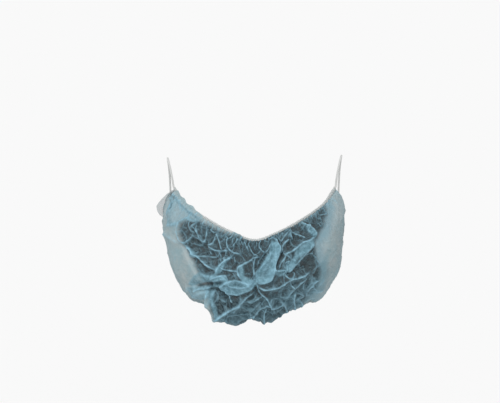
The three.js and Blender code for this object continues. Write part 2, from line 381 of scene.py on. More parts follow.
# Thin see-through spunbond. Lengths are per metre: how often a pattern repeats along and across itself.
# The front's single layer is painted darker in its hollows and lighter where it stands proud, as painted
# shade, and has its own colour on fibres.
nonwoven = {
    # cell is the colour in hollows and the next one the colour where the cloth stands proud; between them
    # lies painted shade
    "cell": (0.004, 0.01, 0.013),
    "paintedLitSlope": (0.009, 0.022, 0.028),
    "streak": (0.08, 0.122, 0.138),
    "border": (0.14, 0.28, 0.345),
    "sideDeep": (0.19, 0.345, 0.4),
    "sidePale": (0.36, 0.415, 0.42),
    "doubleDeep": (0.09, 0.185, 0.225),
    "doublePale": (0.22, 0.4, 0.49),
    # crest: paler crest lines, partly the denser whitened cloth of a fold and partly a painted highlight
    "crest": (0.3, 0.54, 0.67),
    # painted shade along slits and gaps
    "shadedSlit": (0.006, 0.015, 0.019),
    "through": (0.2, 0.4, 0.48),
    "throughShare": 0.03,
    "opacity": {"cell": 0.985, "side": 0.92, "double": 0.05, "crease": 0.2, "flapPaintedLight": -0.38, "uneven": 0.08},
    "coarse": {"angles": (12, 58, 101, 146), "length": 130.0, "fineness": 430.0, "sharp": 6.5},
    "fine": {"angles": (31, 84, 122, 171), "length": 170.0, "fineness": 1100.0, "sharp": 9.0},
    "fibreSpread": 0.07,
    "coarsePower": 1.6,
    "clouds": {"scale": 260.0, "detail": 4.0, "rough": 0.65, "contrast": 2.4},
    "patches": {"scale": 55.0, "detail": 3.0, "rough": 0.6, "contrast": 2.0},
    "streakMix": {"coarse": 0.65, "fine": 0.25, "least": 0.4, "power": 2.2},
    "greyMix": {"patches": 0.75, "fibres": 0.2},
    "borderShare": 0.8,
    "doubleMix": 0.6,
    "crests": {"cells": 105.0, "bend": 0.003, "sharp": 11.0, "kept": 4.5},
    "smallCrests": {"cells": 230.0, "bend": 0.002, "sharp": 8.5, "kept": 3.5},
    "crestPattern": {"wander": 0.8, "gaps": 0.9, "least": 0.42},
    "crestMix": {"small": 0.5, "side": -0.8, "folds": 0.92, "crushed": 0.25},
    "bump": {"fine": 0.5, "crushed": 1.5, "strength": 0.5, "depth": 0.0003},
    "gloss": {"Roughness": 0.7, "Sheen Weight": 0.05, "Sheen Roughness": 0.4, "Specular IOR Level": 0.15},
}


# Random fibres of one size, in a few directions: 1 on a fibre, 0 beside it
def fibreLines(tree, flat, kind):
    lines = 0.0
    for k, angle in enumerate(kind["angles"]):
        way = stretched(tree, flat, angle, (kind["length"], kind["fineness"], 1))
        wave = noise(tree, way, 1.0 + nonwoven["fibreSpread"] * k, 1.0, 0.5)
        away = mathNode(tree, "ABSOLUTE", plus(tree, wave, -0.5))
        line = mathNode(tree, "SUBTRACT", 1.0, times(tree, away, kind["sharp"]), clamp=True)
        lines = mathNode(tree, "MAXIMUM", line, lines)
    return lines


# Thin crests as crushed cloth has, where cells of a bent pattern meet; between some cells there is none
def crestLines(tree, flat, kind):
    pattern = nonwoven["crestPattern"]
    wander = addNode(tree, "TexNoise", {"Scale": kind["cells"] * pattern["wander"], "Vector": flat})
    bent = tree.nodes.new("ShaderNodeVectorMath")
    bent.operation = "MULTIPLY_ADD"
    tree.links.new(wander.outputs["Color"], bent.inputs[0])
    bent.inputs[1].default_value = (kind["bend"], kind["bend"], 0)
    tree.links.new(flat, bent.inputs[2])
    cells = addNode(tree, "TexVoronoi", {"Scale": kind["cells"], "Vector": bent.outputs[0]})
    cells.feature = "DISTANCE_TO_EDGE"
    away = times(tree, cells.outputs["Distance"], kind["sharp"])
    line = mathNode(tree, "SUBTRACT", 1.0, away, clamp=True)
    gaps = noise(tree, flat, kind["cells"] * pattern["gaps"], 1.0)
    kept = times(tree, plus(tree, gaps, -pattern["least"]), kind["kept"])
    return times(tree, line, mathNode(tree, "MULTIPLY", kept, 1.0, clamp=True))


# Colour of the cloth, and the height of its bumps, from its fibres, crests, layers and sides. Crests are
# drawn paler, partly as a painted highlight, and hollows and slits get painted shade.
def nonwovenColour(tree, flat, looks):
    coarse = mathNode(tree, "POWER", fibreLines(tree, flat, nonwoven["coarse"]), nonwoven["coarsePower"])
    fine = fibreLines(tree, flat, nonwoven["fine"])
    clouds = clouded(tree, flat, nonwoven["clouds"])
    patched = clouded(tree, flat, nonwoven["patches"])
    mix = nonwoven["crestMix"]
    # Crushed crest lines: bumps, and a paler colour that is partly a painted highlight
    crushed = times(tree, crestLines(tree, flat, nonwoven["smallCrests"]), mix["small"])
    crushed = mathNode(tree, "MAXIMUM", crestLines(tree, flat, nonwoven["crests"]), crushed)
    crushed = times(tree, crushed, plus(tree, 1.0, times(tree, looks["side"], mix["side"])))
    folds = times(tree, looks["crease"], mix["folds"])
    crest = plus(tree, folds, times(tree, crushed, mix["crushed"]), clamp=True)

    mix = nonwoven["streakMix"]
    streaks = plus(tree, times(tree, coarse, mix["coarse"]), times(tree, fine, mix["fine"]))
    streaks = times(tree, streaks, plus(tree, mix["least"], clouds))
    streaks = mathNode(tree, "POWER", streaks, mix["power"], clamp=True)
    # Painted shade: hollows take the dark cell colour, and parts that stand proud take the lighter slope
    # colour
    cell = mixColours(tree, looks["paintedHollowShade"], nonwoven["cell"], nonwoven["paintedLitSlope"])
    cell = mixColours(tree, streaks, cell, nonwoven["streak"])
    mix = nonwoven["greyMix"]
    fibres = times(tree, plus(tree, fine, clouds), mix["fibres"])
    grey = plus(tree, times(tree, patched, mix["patches"]), fibres, clamp=True)
    pale = mixColours(tree, grey, nonwoven["sideDeep"], nonwoven["sidePale"])
    pale = mixColours(tree, times(tree, looks["border"], nonwoven["borderShare"]), pale, nonwoven["border"])
    colour = mixColours(tree, looks["side"], cell, pale)
    share = nonwoven["doubleMix"]
    thicker = plus(tree, times(tree, clouds, share), times(tree, streaks, share), clamp=True)
    double = mixColours(tree, thicker, nonwoven["doubleDeep"], nonwoven["doublePale"])
    colour = mixColours(tree, looks["layers"], colour, double)
    # Paler crest lines: partly the denser, whitened cloth of the fold, partly a painted highlight where
    # crests catch the light
    colour = mixColours(tree, crest, colour, nonwoven["crest"])
    # Painted shade along slits and gaps
    colour = mixColours(tree, looks["shade"], colour, nonwoven["shadedSlit"])

    bump = nonwoven["bump"]
    fibres = plus(tree, coarse, times(tree, fine, bump["fine"]))
    height = plus(tree, fibres, plus(tree, clouds, times(tree, crushed, bump["crushed"])))
    return colour, clouds, bumpFrom(tree, height, bump["strength"], bump["depth"])


def makeNonwoven(names):
    material, tree = newMaterial("nonwoven")
    looks = {name: readAttribute(tree, name) for name in names}
    colour, clouds, normal = nonwovenColour(tree, uvVector(tree, "flat"), looks)
    opacity = nonwoven["opacity"]
    side = times(tree, looks["side"], opacity["side"] - opacity["cell"])
    thick = plus(tree, opacity["cell"] - opacity["uneven"] / 2, side)
    thick = plus(tree, thick, times(tree, clouds, opacity["uneven"]))
    thick = plus(tree, thick, times(tree, looks["layers"], opacity["double"]))
    # Painted light: the loose flap is made more see-through so that it reads paler
    thick = plus(tree, thick, times(tree, looks["flapPaintedLight"], opacity["flapPaintedLight"]))
    thick = plus(tree, thick, times(tree, looks["crease"], opacity["crease"]), clamp=True)

    cloth = addNode(tree, "BsdfPrincipled", {**nonwoven["gloss"], "Base Color": colour, "Normal": normal})
    glow = addNode(tree, "BsdfTranslucent", {"Color": (*nonwoven["through"], 1), "Normal": normal})
    body = addNode(tree, "MixShader", {0: nonwoven["throughShare"], 1: cloth.outputs[0], 2: glow.outputs[0]})
    clear = addNode(tree, "BsdfTransparent", {})
    mix = addNode(tree, "MixShader", {0: thick, 1: clear.outputs[0], 2: body.outputs[0]})
    finishMaterial(tree, mix.outputs[0])
    return material


# White elastic yarn: two families of slanted strands, round and along the piece, painted darker in the
# grooves between them as painted shade
braids = {
    "cord": {"tone": (0.64, 0.65, 0.64), "turns": 4, "pitch": 0.0021},
    "elastic": {"tone": (0.6, 0.64, 0.64), "turns": 3, "pitch": 0.0016},
}
# low: share of the strand colour left in the grooves between strands, a painted shade
yarn = {"low": 0.5, "bump": 0.7, "depth": 0.0002, "gloss": {"Roughness": 0.7, "Sheen Weight": 0.3}}


def makeBraid(name):
    braid = braids[name]
    material, tree = newMaterial(name)
    parts = addNode(tree, "SeparateXYZ", {0: uvVector(tree, "UVMap")})
    turn = times(tree, parts.outputs[0], 2 * math.pi * braid["turns"])
    run = times(tree, parts.outputs[1], 2 * math.pi / braid["pitch"])
    left = mathNode(tree, "SINE", plus(tree, turn, run))
    right = mathNode(tree, "SINE", mathNode(tree, "SUBTRACT", turn, run))
    height = times(tree, plus(tree, mathNode(tree, "MAXIMUM", left, right), 1.0), 0.5)
    # Painted shade: the grooves between strands are darker
    colour = mixColours(tree, height, tuple(yarn["low"] * c for c in braid["tone"]), braid["tone"])
    normal = bumpFrom(tree, height, yarn["bump"], yarn["depth"])
    shader = addNode(tree, "BsdfPrincipled", {**yarn["gloss"], "Base Color": colour, "Normal": normal})
    finishMaterial(tree, shader.outputs[0])
    return material


cordMaterial = makeBraid("cord")
elasticMaterial = makeBraid("elastic")
makeLoop(-1, "left_ear_loop", "ear_loop_left", cordMaterial)
makeLoop(1, "right_ear_loop", "ear_loop_right", cordMaterial)
print("loops made")

# Soft swellings and dents, each from one place to another: across (-1 and 1 at the two ends), down (0 at the
# upper elastic, 1 at the lower one), rise in mm, and width at half height in mm
swells = {
    "left lobe": ((-0.21, -0.14), (0.6, 0.64), 7.5, 15),
    "foot of the lobe": ((-0.285, -0.255), (0.54, 0.7), 6, 8),
    "dent left of it": ((-0.4, -0.325), (0.68, 0.72), -12, 13),
    "low left side": ((-0.58, -0.46), (0.66, 0.7), -5, 14),
    "notch": ((-0.04, -0.04), (0.56, 0.68), -2.5, 8),
    "right lobe": ((0.04, 0.13), (0.58, 0.62), 5, 16),
    "dent right of it": ((0.23, 0.3), (0.66, 0.7), -7, 12),
    "low right side": ((0.36, 0.47), (0.66, 0.7), -7, 13),
    "left end": ((-0.84, -0.74), (0.8, 0.84), -7, 18),
    "left bulge": ((-0.92, -0.84), (0.5, 0.36), 2.6, 13),
    "pinch under the band": ((-0.42, 0.0), (0.46, 0.37), -4, 9),
    "left hollow": ((-0.46, -0.36), (0.16, 0.17), -3, 14),
    "right of the overlap": ((0.26, 0.36), (0.24, 0.28), -3.5, 13),
    "left of the overlap": ((0.03, 0.06), (0.16, 0.24), -2, 9),
    "full left side": ((-0.72, -0.66), (0.3, 0.42), 2, 20),
    "full right side": ((0.62, 0.7), (0.2, 0.5), 2.5, 20),
}
# Kinds of crease, in mm: rise, half width at the foot, half width of the pressed line, how hard it is
# pressed, and how far the crest leans to the side that lies left of its path. The pressed line is drawn in
# the paler crest colour, partly as a painted highlight; a line pressed below 0 is painted shade.
kinds = {
    "main": {"rise": 4.2, "width": 6.0, "line": 0.9, "pressed": 1.0, "lean": 1.0},
    "ridge": {"rise": 2.8, "width": 4.6, "line": 0.72, "pressed": 0.9, "lean": 0.5},
    "thin": {"rise": 1.6, "width": 3.2, "line": 0.6, "pressed": 0.72, "lean": 0.0},
    "soft": {"rise": 1.6, "width": 6.5, "line": 1.8, "pressed": 0.4, "lean": 0.0},
    "over": {"rise": 3.6, "width": 6.5, "line": 0.85, "pressed": 0.9, "lean": -1.0},
    "under": {"rise": 3.6, "width": 6.5, "line": 0.9, "pressed": 0.9, "lean": 1.2},
    # A slit: a dent whose line is painted shade
    "shadedSlit": {"rise": -2.4, "width": 4.0, "line": 1.5, "pressed": -0.75, "lean": 0.0},
}
# Creases of the cloth: the kind of each one, then the pixels of the photo that its crest runs through
creases = {
    "left hem": ("ridge", (190, 219.5), (182, 223.5), (179, 228.5), (179.5, 236), (182.5, 241.5),
        (187.5, 242.5), (192, 239.5), (195, 234)),
    "side fold": ("soft", (166, 225.5), (172.5, 225.5), (181, 223.5)),
    "side fold 2": ("soft", (163.5, 233.5), (170, 238), (177, 242), (182.5, 243)),
    "fold at the loose end": ("soft", (177, 200), (172, 204), (169.5, 209), (167.5, 216)),
    "pleat at the loose end": ("shadedSlit", (176, 199), (173, 203), (170.5, 209)),
    "pleat at the loose end 2": ("shadedSlit", (173.5, 191), (170.5, 194), (169.5, 198)),
    "pleat at the loose end 3": ("thin", (175.5, 193.5), (173, 197), (171, 201)),
    "left cross": ("thin", (190.5, 222.5), (191, 228), (193.5, 232), (196.5, 233.5)),
    "left cross 2": ("ridge", (202.5, 222), (197, 226), (193.5, 229)),
    "left cross 3": ("thin", (193.5, 229), (197.5, 230.5), (199.5, 234.5)),
    "first pleat": ("ridge", (198.5, 226), (199.5, 232), (201.5, 238), (205, 242.5), (207.5, 236),
        (209.5, 229.5)),
    "first pleat foot": ("thin", (196, 238), (201, 240), (204.5, 242)),
    "small pleat": ("thin", (210.5, 229.5), (214, 232.5), (217.5, 232.5)),
    "triangle left": ("ridge", (219.5, 234), (215.5, 241.5), (210.5, 248)),
    "triangle right": ("ridge", (219.5, 235), (221, 244), (223, 250.5)),
    "triangle foot": ("ridge", (210.5, 248), (217, 250.5), (223.5, 251.5), (229, 250.5)),
    "triangle tail": ("thin", (210.5, 242), (210.5, 248), (212.5, 255)),
    "long slant": ("ridge", (226, 236), (229, 239), (228, 244), (230.5, 250.5), (234, 253), (241, 255)),
    "second pleat": ("ridge", (239.5, 239.5), (236.5, 243.5), (234, 248.5)),
    "second pleat side": ("thin", (240, 239.5), (241.5, 242), (243, 245.5)),
    "middle slant": ("ridge", (248, 242.5), (250.5, 248), (253, 253), (256, 256), (260, 257.5)),
    "middle slant 2": ("thin", (244, 242), (246.5, 247), (249, 252)),
    "left ridge": ("main", (188, 245.5), (193, 249), (195.5, 253.5), (200, 256), (206, 262), (211.5, 266),
        (216.5, 270)),
    "left level": ("thin", (199.5, 255.5), (207.5, 256.5), (217, 257.5)),
    "left level 2": ("thin", (190, 256), (195.5, 256.5), (199.5, 256)),
    "knot": ("main", (217, 273.5), (218.5, 269), (222, 264), (227.5, 259.5), (232, 257)),
    "level line": ("ridge", (222, 268.5), (227.5, 269.5), (233.5, 270.5), (240, 271)),
    "upright": ("thin", (227.5, 251), (225.5, 255.5), (224.5, 261)),
    "upright 2": ("thin", (220, 251.5), (221.5, 257.5), (222, 262)),
    "upright 3": ("thin", (234.5, 257), (235.5, 263)),
    "hook": ("main", (260, 257.5), (255, 260), (249, 263.5), (242.5, 267), (239.5, 268.5), (240, 273.5),
        (242.5, 278.5)),
    "stem": ("ridge", (256.5, 259), (254.5, 265.5), (254.5, 273.5), (254.5, 281)),
    "middle pleat": ("ridge", (260, 242), (259.5, 247), (262, 251.5), (265, 254.5)),
    "middle pleat 2": ("ridge", (270.5, 243.5), (268.5, 250), (264, 255.5), (259.5, 262), (257.5, 266)),
    "inside the overlap": ("thin", (270.5, 253.5), (269.5, 258), (264, 264.5), (259, 269.5)),
    "overlap": ("over", (268, 239), (274, 241.5), (278, 247), (278.5, 252), (276.5, 258), (274.5, 263),
        (273, 269.5), (272, 274), (269.5, 279), (265, 281), (257, 283)),
    "rim pleat": ("thin", (272, 238), (274.5, 241)),
    "rim pleat 2": ("thin", (276.5, 236.5), (278.5, 240), (281, 243)),
    "third pleat": ("ridge", (287.5, 232.5), (284.5, 237), (280.5, 243.5)),
    "third pleat side": ("ridge", (288, 232.5), (288.5, 236), (292, 240.5)),
    "right branch": ("ridge", (289, 240), (284.5, 244), (281.5, 249), (280, 255)),
    "right slant": ("ridge", (289, 232.5), (294, 234.5), (300.5, 236), (305.5, 239)),
    "right ridge": ("main", (300.5, 224.5), (305.5, 226), (310.5, 229.5), (314.5, 234.5), (314, 238.5)),
    "inside the right ridge": ("thin", (303.5, 227), (307.5, 232), (310.5, 236)),
    "right fold": ("main", (314, 238), (308, 242), (300.5, 245.5), (296, 249.5), (290.5, 253.5),
        (284, 256)),
    "right fold foot": ("over", (313, 243), (308.5, 248.5), (304, 252.5), (300, 257), (294.5, 263),
        (289, 269.5), (286, 272.5)),
    "right stroke": ("thin", (325, 211.5), (325.5, 214), (319, 216)),
    "right stroke 2": ("thin", (316, 224), (320.5, 228)),
    "slit bank": ("ridge", (278, 268.5), (279, 264.5), (282.5, 259.5), (284.5, 256)),
    "slit bank 2": ("ridge", (282.5, 269), (283, 265), (285.5, 262), (289, 261.5)),
    "slit foot": ("ridge", (273, 270), (278.5, 270.5), (284, 270), (285.5, 273.5)),
    "right fork": ("thin", (280, 250), (283, 253.5), (284.5, 256)),
    "hole side": ("thin", (284.5, 256), (290.5, 260), (294, 261)),
    "hole upright": ("thin", (286.5, 265.5), (286, 270), (284.5, 275)),
    "right arc": ("thin", (302.5, 255), (308, 253.5), (312.5, 255.5), (316, 261), (319, 267)),
    "swirl": ("thin", (284.5, 275), (288, 277.5), (292.5, 274.5), (293, 271.5)),
    "low ridge": ("main", (258.5, 285.5), (265, 288), (270.5, 287.5), (277, 286), (282.5, 283),
        (290.5, 278), (297, 277), (304, 273.5), (309.5, 272)),
    "low fork": ("thin", (288, 280), (290.5, 285), (293, 288)),
    "far ridge": ("ridge", (282.5, 299.5), (288, 293.5), (293, 288), (298.5, 284), (302.5, 280),
        (305.5, 276)),
    "far upright": ("thin", (303.5, 280), (303, 285.5), (302.5, 290)),
    "far ridge 2": ("ridge", (305.5, 292), (309.5, 286), (312.5, 282), (317.5, 278.5)),
    "far fork": ("thin", (309.5, 285), (312, 288), (314.5, 289.5)),
    "far arc": ("soft", (310.5, 290.5), (316, 291), (324, 289.5)),
    "far arc 2": ("soft", (315.5, 286), (320, 283), (324, 279.5)),
    "far cell": ("thin", (294, 291.5), (298.5, 293), (302.5, 295.5), (298.5, 297), (294.5, 298.5)),
    "far side": ("ridge", (294, 291.5), (293, 299), (292.5, 304.5), (292, 309)),
    "last lobe": ("ridge", (299, 299), (299.5, 303), (299, 307)),
    "right lobe side": ("ridge", (283, 301.5), (286.5, 307), (289.5, 310)),
    "right lobe top": ("ridge", (270.5, 304.5), (274.5, 306.5), (280, 304.5), (282.5, 300.5)),
    "crossing": ("ridge", (257, 284), (260.5, 291.5), (266, 297), (270.5, 303), (273, 306.5)),
    "crossing 2": ("thin", (247.5, 301), (254.5, 300.5), (260, 297), (262.5, 295)),
    "right lobe stem": ("ridge", (268, 306), (265, 311), (264.5, 317.5), (264.5, 322)),
    "right lobe line": ("thin", (286.5, 310.5), (282, 314), (278.5, 317.5)),
    "band": ("main", (219.5, 286), (227, 281.5), (237, 279), (245, 281), (254, 282)),
    "almond": ("ridge", (228.5, 281.5), (230.5, 285), (236, 286.5), (244, 285.5), (250, 282)),
    "band foot": ("under", (219, 286.5), (224, 287.5), (230.5, 290.5), (237, 292), (244, 289.5),
        (254.5, 284)),
    "band top": ("ridge", (210.5, 279.5), (219.5, 276), (227, 275.5), (228.5, 279.5)),
    "band top 2": ("thin", (213.5, 281), (221, 279.5), (226.5, 278)),
    "left band top": ("soft", (200, 272.5), (207.5, 276), (215.5, 275), (218.5, 272)),
    "left band": ("ridge", (193.5, 291), (201, 287.5), (209.5, 287), (212, 285.5)),
    "left band foot": ("soft", (193, 297), (199, 293.5), (207.5, 291), (210.5, 289.5)),
    "left band side": ("soft", (188.5, 287), (188.5, 291.5), (193, 297)),
    "left lobe edge": ("ridge", (210.5, 289.5), (211.5, 297), (211.5, 307), (214.5, 313.5), (218.5, 318)),
    "left lobe edge 2": ("soft", (215.5, 289), (213.5, 293.5), (213.5, 300.5)),
    "lobe line": ("ridge", (227, 289), (231, 293), (231.5, 297.5), (233, 301.5)),
    "lobe diagonal": ("main", (215.5, 314.5), (223.5, 311), (233, 305.5), (239.5, 301.5), (244, 296.5),
        (250.5, 291.5), (256, 289)),
    "lobe diagonal 2": ("thin", (233, 312.5), (237, 306.5), (241, 301.5)),
    "lobe border": ("ridge", (247.5, 318.5), (253, 314.5), (259, 308.5), (266.5, 305), (273.5, 302.5)),
    "slit by the overlap": ("shadedSlit", (275, 268.5), (277, 262), (280, 256), (281.5, 252.5)),
    "gap in the band": ("shadedSlit", (199, 285), (206, 283.5), (216, 283), (224.5, 281.5)),
    "gap in the middle": ("shadedSlit", (259.5, 263), (262.5, 258.5), (266.5, 254.5)),
    "gap under the lobe top": ("shadedSlit", (218, 289.5), (224, 290.5), (229, 294.5)),
}
# Patches where the cloth lies double: how much each one looks it, then its outline in pixels of the photo
patches = {
    "overlap": (1, (271, 242), (277, 245), (279, 250), (277, 257), (274.5, 263), (273, 270), (270, 279),
        (262, 282), (255, 283), (256, 273), (262, 264), (269, 254)),
    "left corner": (0.8, (174, 192), (178, 196), (184, 206), (196, 215), (204, 220), (196, 223),
        (188, 221), (178, 227), (168, 226), (166, 214), (170, 204)),
    "band": (1, (211, 280), (226, 275), (229, 281), (237, 279), (245, 281), (256, 282), (257, 284.5),
        (244, 290), (237, 292), (230, 290), (222, 287), (213, 287)),
    "shelf over the band": (0.85, (188, 284), (194, 276), (200.5, 271.5), (205, 274.5), (209, 275.5),
        (216, 274.5), (222, 275.5), (227, 275), (228, 279), (216, 282), (204, 282.5), (192, 286)),
    "left band": (0.8, (188, 287), (205, 284.5), (211, 286), (210.5, 296), (202, 300), (192, 298)),
    "knot": (0.9, (215.5, 274), (216.5, 268), (222, 262.5), (229, 258), (226, 264), (222, 272)),
    "hook": (0.9, (239.5, 268), (244, 266), (244.5, 276), (255, 280), (255, 283), (243, 280)),
    "right fold": (0.9, (295, 250), (304, 245), (313, 240.5), (313, 243.5), (308.5, 248.5), (303, 253),
        (297.5, 257), (293.5, 262), (289.5, 268), (286, 272), (283, 268), (285, 263.5), (290.5, 260.5),
        (294, 256)),
    "right ridge": (0.8, (301, 224), (311, 229), (315, 235), (314, 240), (309.5, 236), (306, 230.5)),
    "foot of the slit": (0.8, (273, 269.5), (284, 269.5), (285.5, 275), (279, 276), (273, 274.5)),
    "rim of the left lobe": (0.7, (210.5, 289), (216, 289), (214.5, 300), (219, 312), (228, 321),
        (219, 319), (212, 308)),
    "foot of the left lobe": (0.45, (218, 313), (233, 306), (241, 301.5), (246, 306), (257, 308),
        (248, 319), (236, 324), (225, 322)),
    "right lobe": (0.5, (283, 300), (292, 292), (300, 299), (300, 308), (291, 311), (286, 307)),
    "left of the ridge": (0.8, (184, 243), (190, 246), (195, 250), (200, 256), (194, 256.5), (190, 254)),
    "low front": (0.28, (215, 318), (232, 308), (245, 300), (262, 296), (272, 300), (290, 292), (300, 286),
        (312, 282), (318, 278), (310, 296), (300, 304), (296, 312), (284, 318), (265, 325), (240, 327),
        (222, 323)),
    "under the low ridge": (0.25, (270, 289), (284, 284), (298, 277), (309, 273), (316, 280), (304, 292),
        (290, 292), (279, 302), (268, 299)),
}
# Outline of the front, in pixels of the photo: within it the single layer is stretched and looks dark, and
# all round it the cloth looks pale
frontOutline = (
    (182, 224), (190, 220), (203, 222), (211, 226), (225, 232), (240, 237), (252, 239.5), (263, 237),
    (278, 231), (295, 224), (312, 215), (324, 206), (326, 210), (324, 226), (318, 236), (314, 243),
    (317, 262), (320, 272), (316, 284), (308, 297), (300, 302), (300, 310), (292, 314), (280, 320),
    (264, 326), (240, 327), (220, 322), (211, 310), (209, 290), (200, 275), (193, 258), (184, 243),
    (180, 236), (180, 228),
)
# Shape of every fold: how far it is felt, how steep it is, how far its lean spreads, how uneven its line is
foldShape = {
    "reach": 2.5,
    "swellReach": 2.2,
    "steep": 1.7,
    "leanSpread": 0.55,
    "endOver": 0.02,
    "tapers": (0.12, 0.12),
    "uneven": 0.22,
    "waves": ((700, 40), (900, 7)),
    "samples": 6,
}
pleats = {
    "seed": 5,
    "within": 0.97,
    "spacing": (0.0028, 0.0058),
    "length": (0.004, 0.015),
    "hemLength": (0.005, 0.016),
    "slant": 0.6,
    "bend": 0.2,
    "rise": (1.1, 2.5),
    "width": (2.2, 3.6),
    "line": (0.45, 0.8),
    "pressed": (0.35, 0.85),
    "tapers": (0.0, 0.6),
}
crumple = {
    "seed": 11,
    "cell": 0.0125,
    "rise": 0.0016,
    "ridgeCell": 0.0105,
    "ridge": 0.0014,
    "fineCell": 0.0058,
    "fineRidge": 0.0008,
    "lineSharp": 3,
    "fineLine": 0.7,
    "pressed": 0.42,
    "sideShare": 0.28,
    "patchShare": 0.6,
    "rimFade": 0.004,
    "hemFade": 0.006,
}
# Crests between the cells of random points, in shares of a cell, and how many of them are kept
netting = {"wave": 0.22, "along": 2.3, "across": 2.1, "sharp": 2.4, "power": 1.5, "kept": 2.2, "least": 0.5}
layered = {
    "soft": 1.3,
    "edge": 6.0,
    "inner": 0.4,
    "frontSoft": 3.5,
    "border": 13.0,
    "rise": 0.0007,
    "hidden": 0.75,
    "grazing": 0.05,
    "nearest": 4,
    "blur": 0.02,
    "meanOf": (6, 8),
    "proudBy": 0.0022,
    "proudFrom": 0.3,
    "proudPower": 1.3,
}


# Distance inside an outline, in pixels: below 0 outside it
def insideOutline(outline, x, y):
    inside = np.zeros(x.shape, bool)
    gap = np.full(x.shape, 1e9)
    for (x1, y1), (x2, y2) in zip(outline, outline[1:] + outline[:1]):
        if y1 != y2:
            inside ^= ((y1 > y) != (y2 > y)) & (x < (x2 - x1) * (y - y1) / (y2 - y1) + x1)
        run = (x2 - x1) ** 2 + (y2 - y1) ** 2
        t = np.clip(((x - x1) * (x2 - x1) + (y - y1) * (y2 - y1)) / run, 0, 1)
        gap = np.minimum(gap, np.hypot(x - x1 - t * (x2 - x1), y - y1 - t * (y2 - y1)))
    return np.where(inside, gap, -gap)


